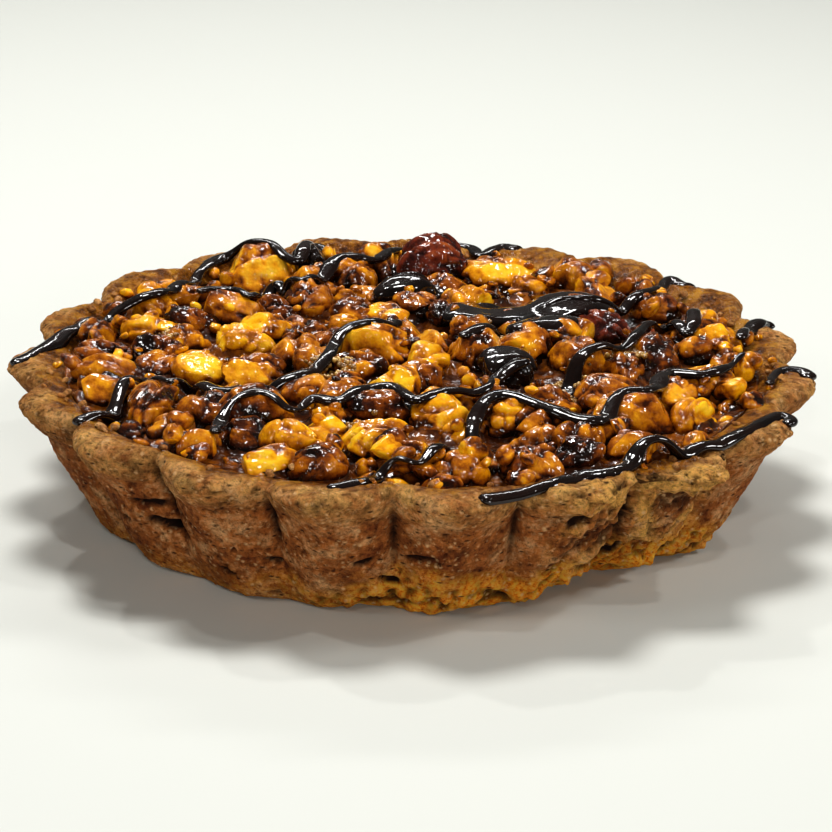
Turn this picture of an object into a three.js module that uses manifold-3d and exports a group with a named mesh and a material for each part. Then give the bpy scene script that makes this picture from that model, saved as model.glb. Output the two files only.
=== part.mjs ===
// Pecan tart, the size of one large portion: a fluted cocoa shortcrust shell, filled with
// caramel that is heaped with glazed pecan pieces, and crossed by strokes of dark chocolate.
// Millimetres, +Z up. The origin is the centre of the flat base, and -Y is the front.

import * as THREE from "three";
import { mergeVertices } from "three/addons/utils/BufferGeometryUtils.js";
import Module from "manifold-3d";

const wasm = await Module();
wasm.setup();

// ---------------------------------------------------------------- driving dimensions

const RIM_RADIUS = 60; // crest of a flute at the rim
const RIM_HEIGHT = 21.6;
const FOOT_RADIUS = 49.4; // crest of a flute just above the foot's rounded edge
const FOOT_HEIGHT = 3.1;
const BASE_RADIUS = 45.6; // ring that the tart stands on
const FLUTES = 19;
const FLUTE_DEPTH = 4.6; // at the rim, fading towards the foot
const FOOT_FLUTE_DEPTH = 1.9;
const FIRST_CREASE_DEG = -2.6; // from the front, towards +X
const FLUTE_WARP_DEG = 1.2; // the flutes aren't quite evenly spaced
const LIP_HEIGHT = 5.2; // the crust swells a little over the mould's edge
const LIP_SWELL = 0.7;
const RIM_WAVE = 0.7; // how far the rim rises and falls round the tart
const RIM_WAVE_LENGTH = 34;
const BACK_RISE = 1.5; // and how much higher it stands at the back than at the front
const CRUMB_SIZE = 9; // the baked crust's own unevenness
const CRUMB_RELIEF = 0.3;

const WORN_RELIEF = 0.9; // one stretch of the crust has crumbled
const WORN_SAG = 0.7; // at its rim
const WORN_FOOT = 1.1; // at its foot
const FOOT_BITE = 1.5; // and pieces have broken off the front of the foot
const FOOT_BITE_LENGTH = 15;
const FOOT_CHIP = 1.5; // the largest of them below the worn stretch

const INNER_RADIUS = 51.4; // of the shell, at the rim
const INNER_EDGE_HEIGHT = 20.6;
const FLOOR_RADIUS = 43;
const FLOOR_HEIGHT = 4.2;
const GAP = 0.3; // between the shell and its filling

const CARAMEL_EDGE_HEIGHT = 19.2;
const CARAMEL_DOME = 1.5;

const HEAP_RADIUS = INNER_RADIUS - 0.8; // the pecan pieces stay inside it
const LARGEST_LOOSE = 4.5; // half lengths of the smaller pieces, from the first placed
const SMALLEST_LOOSE = 3.1; // to the last, which fill the gaps
const LOOSE_TRIES = 350;
const LOOSE_SPACING = 0.74; // below 1, the pieces lean into each other
const PECAN_FORMS = 6;

const CHOCOLATE_RADIUS = 0.95;
const CHOCOLATE_SIDES = 4;
const CHOCOLATE_STEP = 4.2;
const CHOCOLATE_SINK = 0.7; // share of its radius that a stroke sinks into what it lies on

const TURN = 2 * Math.PI;
const radians = THREE.MathUtils.degToRad;
const clamp01 = (t) => Math.min(1, Math.max(0, t));
const mix = (a, b, t) => a + (b - a) * t;
const smooth = (low, high, v) => THREE.MathUtils.smoothstep(v, low, high);

// ---------------------------------------------------------------- seeded draws and lumps

// A linear congruential generator: the same draws on every run.
function draws(seed) {
  let state = seed >>> 0;
  return () => {
    state = (Math.imul(state, 1664525) + 1013904223) >>> 0;
    return state / 4294967296;
  };
}

// A smooth lumpy field from about -1 to 1: waves added up, which run in seeded directions.
// size is the distance in mm from one lump to the next.
function lumps(seed, waves = 7) {
  const draw = draws(seed);
  const set = Array.from({ length: waves }, () => {
    const up = 2 * draw() - 1;
    const turn = TURN * draw();
    const flat = Math.sqrt(1 - up * up);
    const pitch = 0.7 + 0.8 * draw();
    return [flat * Math.cos(turn) * pitch, flat * Math.sin(turn) * pitch, up * pitch, TURN * draw()];
  });
  return (x, y, z, size) => {
    const k = TURN / size;
    const sum = set.reduce((s, [a, b, c, p]) => s + Math.sin(k * (a * x + b * y + c * z) + p), 0);
    return (1.6 * sum) / waves;
  };
}

// ---------------------------------------------------------------- closed surfaces

// A closed surface from rings of the same count of points, capped by a point at each end.
function closedRings(first, rings, last) {
  const count = rings[0].length;
  const at = (ring, i) => 1 + ring * count + (i % count);
  const end = 1 + rings.length * count;
  const faces = [];
  for (let i = 0; i < count; i++) {
    faces.push(0, at(0, i + 1), at(0, i));
    for (let ring = 0; ring < rings.length - 1; ring++) {
      faces.push(at(ring, i), at(ring, i + 1), at(ring + 1, i + 1));
      faces.push(at(ring, i), at(ring + 1, i + 1), at(ring + 1, i));
    }
    faces.push(at(rings.length - 1, i), at(rings.length - 1, i + 1), end);
  }
  const geometry = new THREE.BufferGeometry();
  const places = [first, ...rings.flat(), last].flat();
  geometry.setAttribute("position", new THREE.Float32BufferAttribute(places, 3));
  geometry.setIndex(faces);
  return geometry;
}

// A turned form: section(row, turn) gives [radius, height], for rows up the outside and back.
function turned(rows, turns, section) {
  const rings = [];
  for (let row = 1; row < rows - 1; row++) {
    rings.push(
      turns.map((turn) => {
        const [radius, height] = section(row, turn);
        return [radius * Math.sin(turn), -radius * Math.cos(turn), height];
      }),
    );
  }
  return closedRings([0, 0, section(0, 0)[1]], rings, [0, 0, section(rows - 1, 0)[1]]);
}

// ---------------------------------------------------------------- joining and cutting

function solidOf(geometry) {
  const bare = geometry.clone();
  bare.deleteAttribute("normal");
  bare.deleteAttribute("uv");
  const merged = mergeVertices(bare, 1e-4);
  return new wasm.Manifold(
    new wasm.Mesh({
      numProp: 3,
      vertProperties: new Float32Array(merged.attributes.position.array),
      triVerts: new Uint32Array(merged.index.array),
    }),
  );
}

const join = (solids) => solids.reduce((all, one) => all.add(one));

// The largest connected piece of a solid as a geometry, so that no loose scrap stays with it.
function largestPiece(solid) {
  const { numVert, numProp, vertProperties, triVerts } = solid.getMesh();
  const owner = Array.from({ length: numVert }, (_, i) => i);
  const root = (i) => {
    while (owner[i] !== i) i = owner[i] = owner[owner[i]];
    return i;
  };
  for (let i = 0; i < triVerts.length; i += 3) {
    owner[root(triVerts[i + 1])] = root(triVerts[i]);
    owner[root(triVerts[i + 2])] = root(triVerts[i]);
  }
  const counts = new Map();
  for (const i of triVerts) counts.set(root(i), (counts.get(root(i)) ?? 0) + 1);
  const [main] = [...counts].reduce((best, one) => (one[1] > best[1] ? one : best));

  const places = [];
  for (let i = 0; i < triVerts.length; i++) {
    const start = triVerts[i] * numProp;
    if (root(triVerts[i]) === main) places.push(...vertProperties.subarray(start, start + 3));
  }
  const geometry = new THREE.BufferGeometry();
  geometry.setAttribute("position", new THREE.Float32BufferAttribute(places, 3));
  const whole = mergeVertices(geometry, 1e-6);
  whole.computeVertexNormals();
  return whole;
}

// ---------------------------------------------------------------- the shell

const crumbs = lumps(41);
const wobble = lumps(42);

// Where the shell's columns stand: closer together at each narrow crease, and a little
// uneven, as the flutes are. A column knows its place in its flute, from 0 to 1.
const COLUMNS_IN_FLUTE = [0, 0.17, 0.4, 0.6, 0.83];
const columns = Array.from({ length: FLUTES }, (_, flute) =>
  COLUMNS_IN_FLUTE.map((place) => {
    const even = radians(FIRST_CREASE_DEG) + (TURN * (flute + place)) / FLUTES;
    return { place, turn: even - radians(FLUTE_WARP_DEG) * Math.sin(2 * even) };
  }),
).flat();
const turns = columns.map((column) => column.turn);
const placeAt = new Map(columns.map((column) => [column.turn, column.place]));

// 1 at the broad crest of a flute and 0 in the crease between two.
const crest = (turn) => Math.pow(0.5 - 0.5 * Math.cos(TURN * (placeAt.get(turn) ?? 0)), 0.6);

// The direction in degrees from the front, from -180 to 180, towards +X.
const bearing = (turn) => THREE.MathUtils.radToDeg(Math.atan2(Math.sin(turn), Math.cos(turn)));
const stretch = (turn, from, full, until, to) =>
  smooth(from, full, bearing(turn)) * (1 - smooth(until, to, bearing(turn)));

// One stretch right of the front has crumbled, and the front of the foot is ragged.
const worn = (turn) => stretch(turn, 17, 27, 47, 58);
const ragged = (turn) => stretch(turn, -20, -8, 52, 62);
const chipped = (turn) => stretch(turn, 20, 27, 37, 45);
const around = (turn, radius, size) => wobble(radius * Math.sin(turn), radius * Math.cos(turn), 0, size);
function footLoss(turn) {
  const bite = clamp01(0.45 + 0.9 * around(turn, BASE_RADIUS, FOOT_BITE_LENGTH));
  return FOOT_BITE * bite * ragged(turn) + WORN_FOOT * worn(turn) + FOOT_CHIP * chipped(turn);
}

// The rim rises and falls a little round the tart, stands higher at the back, and sags where
// the crust is worn.
const rimRise = (turn) =>
  RIM_WAVE * around(turn, RIM_RADIUS, RIM_WAVE_LENGTH) +
  BACK_RISE * smooth(0, 0.65, -Math.cos(turn)) -
  WORN_SAG * worn(turn);

// The shell's section, from the middle of the base up the outside and down the inside:
// flute is the fluting's depth, rough is the share of the crumb's relief, rim is the share
// of the rim's rise and fall. Where the foot has lost crumb, foot lifts a ring and inward
// draws one in.
const LIP_FOOT = RIM_HEIGHT - LIP_HEIGHT;
const MIDDLE_HEIGHT = (FOOT_HEIGHT + LIP_FOOT) / 2;
function wallRing(height, swell = 0) {
  const reach = (height - FOOT_HEIGHT) / (RIM_HEIGHT - FOOT_HEIGHT);
  const radius = mix(FOOT_RADIUS, RIM_RADIUS - LIP_SWELL, reach) + swell;
  return { radius, height, flute: mix(FOOT_FLUTE_DEPTH, FLUTE_DEPTH, reach), rough: 1 };
}
const SECTION = [
  { radius: 0, height: 0 },
  { radius: BASE_RADIUS, height: 0, flute: 0.7, rough: 0.2, inward: 1.6 },
  { radius: BASE_RADIUS + 2.2, height: 0.9, flute: FOOT_FLUTE_DEPTH, rough: 1, foot: 1 },
  { ...wallRing(FOOT_HEIGHT), foot: 1 },
  wallRing(MIDDLE_HEIGHT),
  wallRing(LIP_FOOT),
  wallRing(LIP_FOOT + 1, LIP_SWELL),
  { radius: RIM_RADIUS, height: RIM_HEIGHT - 1.3, flute: FLUTE_DEPTH, rough: 1, rim: 0.8 },
  { radius: RIM_RADIUS - 1.3, height: RIM_HEIGHT - 0.2, flute: FLUTE_DEPTH, rough: 0.7, rim: 1 },
  { radius: RIM_RADIUS - 4.6, height: RIM_HEIGHT, flute: FLUTE_DEPTH * 0.4, rough: 0.5, rim: 0.9 },
  { radius: INNER_RADIUS, height: INNER_EDGE_HEIGHT },
  { radius: FLOOR_RADIUS, height: FLOOR_HEIGHT },
  { radius: 0, height: FLOOR_HEIGHT },
];

function shellSection(row, turn) {
  const { radius, height, flute = 0, rough = 0, rim = 0, foot = 0, inward = 0 } = SECTION[row];
  const relief = rough * (CRUMB_RELIEF + WORN_RELIEF * worn(turn));
  const lump = crumbs(radius * Math.sin(turn), -radius * Math.cos(turn), height, CRUMB_SIZE);
  return [
    radius - flute * (1 - crest(turn)) + relief * lump - inward * footLoss(turn),
    height + foot * footLoss(turn) + rim * rimRise(turn),
  ];
}

const shell = solidOf(turned(SECTION.length, turns, shellSection));

// ---------------------------------------------------------------- the pecan pieces

// The largest pieces: [x, y, length, width, height, heading in degrees].
const LARGE_PECANS = [
  [-25, 41, 12.3, 9.5, 8.4, 12],
  [-28, 22, 12, 7.5, 6.4, -18],
  [-39, 13, 9.6, 6.2, 4.8, -25],
  [-34, 5, 6.4, 5, 5, 30],
  [-26, 5, 8.6, 6, 5.4, 5],
  [-36.5, -22, 12.5, 7, 6.6, 78],
  [-45, -8, 8.6, 6.5, 5.6, -20],
  [-31, -7, 9.6, 6.6, 5.2, -10],
  [-22, -27, 10, 8, 7.6, 20],
  [-16, -36, 8.2, 6.5, 5.8, -20],
  [-19, -44, 7.6, 6, 5.6, 10],
  [-10, 38, 8.4, 7.6, 7.2, 70],
  [-16, 25, 8, 7.4, 6.6, 75],
  [-9, 19, 7.2, 6.6, 5.8, 0],
  [3, 44, 11.2, 9.4, 10.4, 5],
  [-1, 29, 9.2, 7.4, 6.4, 10],
  [-6, 1, 11.4, 8.6, 7.6, -8],
  [1, -12, 6.8, 6.4, 5.8, 0],
  [9, -1, 8.4, 7.4, 7, -40],
  [-5, -25, 9.8, 7, 6.2, -10],
  [-5, -36, 9, 6.8, 5.8, 5],
  [14, 42, 11.4, 7.8, 6.6, 0],
  [25, 40, 8.2, 7.6, 6.8, 20],
  [29, 14, 9.4, 6.6, 6, -30],
  [35, 6, 6.8, 5, 6.6, 70],
  [14, -10, 6.8, 6.4, 6, 0],
  [13, -28, 7.6, 7, 6.6, 30],
  [23, -35, 8.2, 6.6, 6.6, 70],
  [31, -25, 11.6, 8.8, 7.2, 15],
  [42, -10, 11.4, 7.4, 6, 5],
  [40, -24, 6.8, 5.6, 6, 60],
  [45, 9, 9.8, 7.6, 6.8, 30],
  [6, -46, 7.6, 5.6, 5.2, 0],
  [-12, -45, 7.6, 6, 6, 15],
  [16, -44, 7.4, 6, 5.6, -25],
  [-29, -37, 7.4, 5.6, 5.2, 35],
  [31, -37, 7, 5.8, 5.4, 20],
  [-16.5, 44.5, 7, 6.6, 9, 60],
  [-48, 7.5, 5.4, 4, 6.4, 60],
];

// The caramel's level: lowest at the shell, and a little domed in the middle.
const caramelHeight = (x, y) =>
  CARAMEL_EDGE_HEIGHT + CARAMEL_DOME * clamp01(1 - (x * x + y * y) / (INNER_RADIUS * INNER_RADIUS));

// Hollows of the heap, where only caramel shows: [x, y, radius].
const HOLLOWS = [
  [-44, 6, 4.5],
  [-24, -21, 3.5],
  [-10, -41, 3],
  [25, -12, 3.6],
];

// Where a piece has its corners, in degrees: along its length, and round it from the furrow.
const LARGE_FACES = { sections: [48, 92, 134], sides: [90, 140, 200, 270, 340, 400] };
const SMALL_FACES = { sections: [58, 122], sides: [90, 145, 215, 325, 395] };

// Places every piece: the large ones, then smaller and smaller ones where a draw finds room.
function placePecans() {
  const draw = draws(7);
  const placed = LARGE_PECANS.map(([x, y, length, width, height, heading]) => ({
    x,
    y,
    long: length / 2,
    wide: width / 2,
    high: height / 2,
    heading: radians(heading),
    pitch: radians(20 * draw() - 10),
    roll: radians(30 * draw() - 15),
    rise: 0.24 * height,
    form: Math.floor(PECAN_FORMS * draw()),
    faces: LARGE_FACES,
  }));
  for (let tries = 0; tries < LOOSE_TRIES; tries++) {
    const long = mix(LARGEST_LOOSE, SMALLEST_LOOSE, tries / LOOSE_TRIES) * (0.9 + 0.2 * draw());
    const reach = HEAP_RADIUS * Math.sqrt(draw());
    const turn = TURN * draw();
    const x = reach * Math.cos(turn);
    const y = reach * Math.sin(turn);
    const room = (p) => LOOSE_SPACING * (long + 0.5 * (p.long + p.wide));
    const clear =
      placed.every((p) => Math.hypot(p.x - x, p.y - y) > room(p)) &&
      HOLLOWS.every(([hx, hy, radius]) => Math.hypot(hx - x, hy - y) > radius);
    if (!clear || reach + 0.7 * long > HEAP_RADIUS) continue;
    placed.push({
      x,
      y,
      long,
      wide: long * (0.74 + 0.2 * draw()),
      high: long * (0.56 + 0.2 * draw()),
      heading: TURN * draw(),
      pitch: radians(50 * draw() - 25),
      roll: radians(60 * draw() - 30),
      rise: long * (0.15 + 0.4 * draw()),
      form: Math.floor(PECAN_FORMS * draw()),
      faces: SMALL_FACES,
    });
  }
  return placed;
}
const pecans = placePecans();

// A broken piece of pecan on a unit ball: a furrow along its top and ridges across it.
function pecanSwell(form, x, y, z) {
  const furrow = 0.2 * Math.exp(-((y / 0.24) ** 2)) * clamp01(1.5 * z);
  const ridges = 0.07 * Math.cos(3.2 * x + form) * clamp01(0.4 + z);
  const lean = 0.13 * Math.sin(2.3 * x + 1.7 * form) * Math.sin(2.1 * y + 0.9 * form);
  return 1.12 - furrow - ridges + lean;
}

function pecanSolid({ x, y, long, wide, high, heading, pitch, roll, rise, form, faces }) {
  const swollen = (a, b, c) => {
    const swell = pecanSwell(form, a, b, c);
    return [a * swell * long, b * swell * wide, c * swell * high];
  };
  const rings = faces.sections.map(radians).map((along) =>
    faces.sides.map(radians).map((side) =>
      swollen(-Math.cos(along), Math.sin(along) * Math.cos(side), Math.sin(along) * Math.sin(side)),
    ),
  );
  const piece = closedRings(swollen(-1, 0, 0), rings, swollen(1, 0, 0));
  const tilt = new THREE.Euler(roll, pitch, heading, "ZYX");
  piece.applyMatrix4(new THREE.Matrix4().makeRotationFromEuler(tilt));
  piece.translate(x, y, caramelHeight(x, y) + rise);
  return solidOf(piece);
}

// ---------------------------------------------------------------- the chocolate strokes

// Each stroke seen from above, as the few points that it runs through.
const STROKES = [
  [
    [-59, -4], [-54.5, 4], [-51, 10], [-46, 19], [-40, 22], [-36.5, 31], [-34, 40], [-31, 46],
    [-24, 44], [-20.8, 40], [-18.6, 40], [-17.5, 47], [-16, 52], [-13.5, 50],
  ],
  [
    [-33.5, 21], [-31, 23.5], [-28, 23.5], [-25.5, 20.5], [-24, 29], [-22, 34], [-17.5, 26],
    [-14, 33.5], [-12, 38.5], [-7, 41.5], [-2.5, 50], [2, 55.5], [9.5, 55.5], [11, 51], [15, 56], [17.5, 53],
  ],
  [
    [-47, -30.5], [-42.5, -25], [-41, -18], [-38.5, -13.5], [-34.5, -18.5], [-32, -15], [-27.5, -21],
    [-22.5, -17], [-16.5, -14.5], [-12.5, -8], [-10.5, -1], [-5, 3], [-2, 8],
  ],
  [
    [-27, -39], [-25.5, -31.5], [-21.5, -28], [-17, -30.5], [-13.8, -25.8], [-10, -27.5], [-6.5, -23],
    [-3, -21.5], [0.7, -27.5], [4.5, -24.5], [10.8, -21], [12, -15], [17, -11],
  ],
  [
    [-11, -55.5], [-6.5, -53.5], [-3, -49.3], [0.7, -49.6], [5, -41.5], [8, -37], [9, -31], [12.5, -27.5],
    [17, -29.5], [22, -33], [25.5, -33.5], [30, -24.5], [33.5, -23.5], [37.5, -12], [42.5, -13], [49, -4.5],
  ],
  [
    [9, -57], [13, -55], [18.5, -51.5], [23, -46.8], [27.5, -45.8], [31.5, -40.5], [36, -37.8],
    [42, -33.8], [46, -30], [50.2, -24.6], [52.4, -22.3], [53.7, -23.8], [53, -26],
  ],
  [
    [7, -3], [10.9, 1], [15.6, 9.5], [20.6, 18], [27.7, 19.5], [35, 25], [38.5, 30],
    [41.5, 38], [43.5, 35], [46.5, 38.5], [48.5, 37],
  ],
  [
    [23.3, -14], [23.7, -9], [28.5, -4.5], [32.2, -1], [35.5, 7], [39, 13], [41.3, 5.5], [42.6, 9], [43.3, 18],
  ],
  [[52, -11.5], [52.8, -8], [55, -4.5], [57.5, -4.5], [58.8, -7.5]],
  [[49.5, 6], [51, 12], [53, 17], [55, 20], [56.3, 19.5]],
];

// The top of whatever lies there: a pecan piece, the caramel or the rim.
function supportHeight(x, y) {
  const onRim = smooth(INNER_RADIUS - 2, INNER_RADIUS + 2, Math.hypot(x, y));
  const bare = mix(caramelHeight(x, y), RIM_HEIGHT + rimRise(Math.atan2(x, -y)), onRim);
  const tops = pecans.map((p) => {
    const along = (x - p.x) * Math.cos(p.heading) + (y - p.y) * Math.sin(p.heading);
    const aside = (y - p.y) * Math.cos(p.heading) - (x - p.x) * Math.sin(p.heading);
    const inside = 1 - (along / p.long) ** 2 - (aside / p.wide) ** 2;
    return inside > 0 ? caramelHeight(p.x, p.y) + p.rise + p.high * Math.sqrt(inside) : bare;
  });
  return Math.max(bare, ...tops);
}

// Lays one stroke over the heap: it follows the tops and sags a little between them.
function strokeSolid(points) {
  const plan = new THREE.CatmullRomCurve3(points.map(([x, y]) => new THREE.Vector3(x, y, 0)));
  const count = Math.round(plan.getLength());
  const path = plan.getSpacedPoints(count);
  const before = (i) => Math.max(0, i - 1);
  const after = (i) => Math.min(count, i + 1);
  const tops = path.map((p) => supportHeight(p.x, p.y));
  let heights = tops.map((top, i) => Math.max(tops[before(i)], top, tops[after(i)]));
  for (let pass = 0; pass < 4; pass++) {
    heights = heights.map((h, i, all) => (all[before(i)] + 2 * h + all[after(i)]) / 4);
  }
  path.forEach((p, i) => p.setZ(heights[i] + (1 - CHOCOLATE_SINK) * CHOCOLATE_RADIUS));
  const curve = new THREE.CatmullRomCurve3(path);
  const section = new THREE.Shape(
    Array.from({ length: CHOCOLATE_SIDES }, (_, i) => {
      const turn = (TURN * i) / CHOCOLATE_SIDES;
      return new THREE.Vector2(CHOCOLATE_RADIUS * Math.cos(turn), CHOCOLATE_RADIUS * Math.sin(turn));
    }),
  );
  const steps = Math.max(2, Math.round(curve.getLength() / CHOCOLATE_STEP));
  return solidOf(new THREE.ExtrudeGeometry(section, { steps, extrudePath: curve, bevelEnabled: false }));
}

// ---------------------------------------------------------------- the filling's heap

const evenTurns = Array.from({ length: 2 * FLUTES }, (_, i) => (TURN * i) / (2 * FLUTES));
const turnedSolid = (rows) => solidOf(turned(rows.length, evenTurns, (row) => rows[row]));

// The room inside the shell and straight up from its rim, drawn in by a gap.
const ABOVE_ALL = 2 * RIM_HEIGHT;
const cavity = (gap) =>
  turnedSolid([
    [0, FLOOR_HEIGHT + gap],
    [FLOOR_RADIUS - gap, FLOOR_HEIGHT + gap],
    [INNER_RADIUS - gap, INNER_EDGE_HEIGHT],
    [INNER_RADIUS - gap, ABOVE_ALL],
    [0, ABOVE_ALL],
  ]);

const DOME_RING = 0.7 * INNER_RADIUS;
const caramel = turnedSolid([
  [0, FLOOR_HEIGHT + GAP],
  [FLOOR_RADIUS - GAP, FLOOR_HEIGHT + GAP],
  [HEAP_RADIUS - GAP, CARAMEL_EDGE_HEIGHT],
  [DOME_RING, caramelHeight(DOME_RING, 0)],
  [0, caramelHeight(0, 0)],
]);

const strokes = join(STROKES.map(strokeSolid));
const heap = join([caramel, ...pecans.map(pecanSolid), strokes]);
const pecanFilling = largestPiece(heap.intersect(cavity(GAP)));
const crust = largestPiece(shell.add(strokes.subtract(cavity(0))));

// ---------------------------------------------------------------- the scene graph

function named(name, geometry, finish) {
  const mesh = new THREE.Mesh(geometry, new THREE.MeshStandardMaterial(finish));
  mesh.name = name;
  return mesh;
}

const tart = new THREE.Group();
tart.add(named("crust", crust, { color: 0x7d5230, roughness: 0.85, metalness: 0 }));
tart.add(named("pecan_filling", pecanFilling, { color: 0xb06d1a, roughness: 0.3, metalness: 0 }));

export default tart;
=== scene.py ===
"""A pecan pie the size of one large portion: a fluted cocoa shortcrust shell, filled with caramel,
heaped with broken glazed pecans and crossed by strokes of dark chocolate. Shapes are worked out in
millimetres, +Z up, with the front towards -Y, and put into the meshes in metres."""

import bpy
import numpy as np
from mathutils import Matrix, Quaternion, Vector


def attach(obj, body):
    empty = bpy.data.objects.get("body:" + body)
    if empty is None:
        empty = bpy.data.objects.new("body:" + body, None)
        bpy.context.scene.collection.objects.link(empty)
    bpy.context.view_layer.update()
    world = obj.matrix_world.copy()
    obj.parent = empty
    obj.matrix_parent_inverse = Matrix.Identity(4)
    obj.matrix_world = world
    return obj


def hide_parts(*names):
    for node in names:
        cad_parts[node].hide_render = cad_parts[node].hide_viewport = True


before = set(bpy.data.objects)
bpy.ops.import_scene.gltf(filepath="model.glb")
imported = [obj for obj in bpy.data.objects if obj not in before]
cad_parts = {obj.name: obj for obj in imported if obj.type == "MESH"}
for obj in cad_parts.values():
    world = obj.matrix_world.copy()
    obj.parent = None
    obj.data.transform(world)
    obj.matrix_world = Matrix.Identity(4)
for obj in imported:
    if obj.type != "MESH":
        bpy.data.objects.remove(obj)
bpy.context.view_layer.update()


# ---- The shortcrust shell ------------------------------------------------------------------
# Cocoa shortcrust, pressed by hand into a deep fluted mould, baked and turned out. It is dry and
# sandy, swollen a little over the mould's edge, cracked in places, crumbled along one stretch of
# the wall and ragged at the front of its foot.

RIM_RADIUS, RIM_HEIGHT = 60.0, 21.6
FOOT_RADIUS, FOOT_HEIGHT = 49.4, 3.1
BASE_RADIUS = 45.6
FLUTES = 19
COLUMNS_IN_FLUTE = 48
FLUTE_DEPTH, FOOT_FLUTE_DEPTH = 4.6, 1.9
FIRST_CREASE_DEG, FLUTE_WARP_DEG = -2.6, 1.2
LIP_HEIGHT, LIP_SWELL = 5.2, 0.7
RIM_WAVE, RIM_WAVE_LENGTH, BACK_RISE = 0.7, 34, 1.5
CRUMB_RELIEF, CRUMB_SIZE = 0.3, 9
WORN_RELIEF, WORN_SAG, WORN_FOOT = 0.9, 0.7, 1.1
FOOT_BITE, FOOT_BITE_LENGTH, FOOT_CHIP = 1.5, 15, 1.5
INNER_RADIUS, INNER_EDGE_HEIGHT = 51.4, 20.6
FLOOR_RADIUS, FLOOR_HEIGHT = 43.0, 4.2
TURN = 2 * np.pi
MM = 0.001


def clamp01(v):
    return np.clip(v, 0, 1)


def mix(a, b, t):
    return a + (b - a) * t


def smooth(low, high, v):
    """3t² - 2t³, with t the share of the way from low to high."""
    t = clamp01((v - low) / (high - low))
    return t * t * (3 - 2 * t)


def draws(seed):
    """The same draws from 0 to 1 on every run: state = 1664525 state + 1013904223, over 2³²."""
    state = seed
    while True:
        state = (state * 1664525 + 1013904223) % 2**32
        yield state / 2**32


def lumps(seed, waves=7):
    """A smooth field from about -1 to 1: seven sine waves in seeded directions, added up. size is
    the distance in mm from one lump to the next."""
    draw = draws(seed)
    rows = []
    for _ in range(waves):
        up = 2 * next(draw) - 1
        turn = TURN * next(draw)
        flat = np.sqrt(1 - up * up)
        pitch = 0.7 + 0.8 * next(draw)
        way = [flat * np.cos(turn) * pitch, flat * np.sin(turn) * pitch, up * pitch]
        rows.append([*way, TURN * next(draw)])
    ways = np.array(rows)
    return lambda x, y, z, size: 1.6 / waves * np.sin(
        TURN / size * (np.stack(np.broadcast_arrays(x, y, z), -1) @ ways[:, :3].T) + ways[:, 3]
    ).sum(-1)


def hashed(cells, seed):
    """A random number from 0 to 1 for each whole-numbered cube, the same on every run."""
    key = cells @ np.array([73856093, 19349663, 83492791]) + seed * 2654435761
    key = (key ^ (key >> 13)) * 1274126177
    key = (key ^ (key >> 16)) * 668265263
    return ((key ^ (key >> 15)) & 0xFFFFF) / 0xFFFFF


def lattice(points, size, seed):
    """A field from -1 to 1: a random number at each corner of cubes of that size in mm, blended
    across each cube by 3t² - 2t³ along every axis."""
    place = points / size
    cell = np.floor(place)
    part = place - cell
    part = part * part * (3 - 2 * part)
    total = np.zeros(place.shape[:-1])
    for corner in np.ndindex(2, 2, 2):
        share = np.where(corner, part, 1 - part).prod(-1)
        total += share * hashed(cell.astype(np.int64) + corner, seed)
    return 2 * total - 1


def nearest_grain(points, size, seed):
    """Distance to the nearest grain over the grain spacing, where one grain lies at a random place
    in each cube of that size: the least over the 27 cubes around a point."""
    place = points / size
    cell = np.floor(place).astype(np.int64)
    best = np.full(place.shape[:-1], 9.0)
    for step in np.ndindex(3, 3, 3):
        near = cell + step - 1
        grain = near + np.stack([hashed(near, seed + k) for k in range(3)], -1)
        best = np.minimum(best, ((place - grain) ** 2).sum(-1))
    return np.sqrt(best)


def on_grid(values):
    """A value or a place for each point of closed bodies, from values[body, row, column]: the first
    and last rows are each body's two end points."""
    bodies, _, _, *size = values.shape
    between = values[:, 1:-1].reshape(bodies, -1, *size)
    return np.concatenate([values[:, :1, 0], between, values[:, -1:, 0]], 1).reshape(-1, *size)


def closed_grids(places):
    """Points and faces of closed bodies, from places[body, row, column]: columns go round."""
    bodies, rows, columns = places.shape[:3]
    each = 2 + (rows - 2) * columns
    i = np.arange(columns)
    after = (i + 1) % columns
    ring = 1 + np.arange(rows - 3)[:, None] * columns
    quads = [ring + i, ring + after, ring + after + columns, ring + i + columns]
    quads = np.stack(quads, -1).reshape(-1, 4)
    last = 1 + (rows - 3) * columns
    caps = np.concatenate(
        [
            np.stack([0 * i, 1 + after, 1 + i], -1),
            np.stack([last + i, last + after, 0 * i + each - 1], -1),
        ]
    )
    shift = each * np.arange(bodies)[:, None, None]
    return on_grid(places), (quads + shift).reshape(-1, 4), (caps + shift).reshape(-1, 3)


def body_mesh(name, places, material, **fields):
    """One Blender object from closed grids in mm, smooth-shaded, with a named number at each
    point for each of the fields."""
    points, quads, caps = closed_grids(places)
    mesh = bpy.data.meshes.new(name)
    corners = np.concatenate([quads.ravel(), caps.ravel()]).astype(np.int32)
    sizes = np.concatenate([np.full(len(quads), 4), np.full(len(caps), 3)]).astype(np.int32)
    mesh.vertices.add(len(points))
    mesh.vertices.foreach_set("co", (points * MM).astype(np.float32).ravel())
    mesh.loops.add(len(corners))
    mesh.loops.foreach_set("vertex_index", corners)
    mesh.polygons.add(len(sizes))
    mesh.polygons.foreach_set("loop_start", np.concatenate([[0], np.cumsum(sizes)[:-1]]).astype(np.int32))
    mesh.update(calc_edges=True)
    mesh.validate()
    mesh.polygons.foreach_set("use_smooth", np.ones(len(sizes), bool))
    for field, values in fields.items():
        layer = mesh.attributes.new(field, "FLOAT", "POINT")
        layer.data.foreach_set("value", on_grid(values).astype(np.float32))
    mesh.materials.append(material)
    piece = bpy.data.objects.new(name, mesh)
    bpy.context.scene.collection.objects.link(piece)
    return piece


crumbs, wobble = lumps(41), lumps(42)

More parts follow.
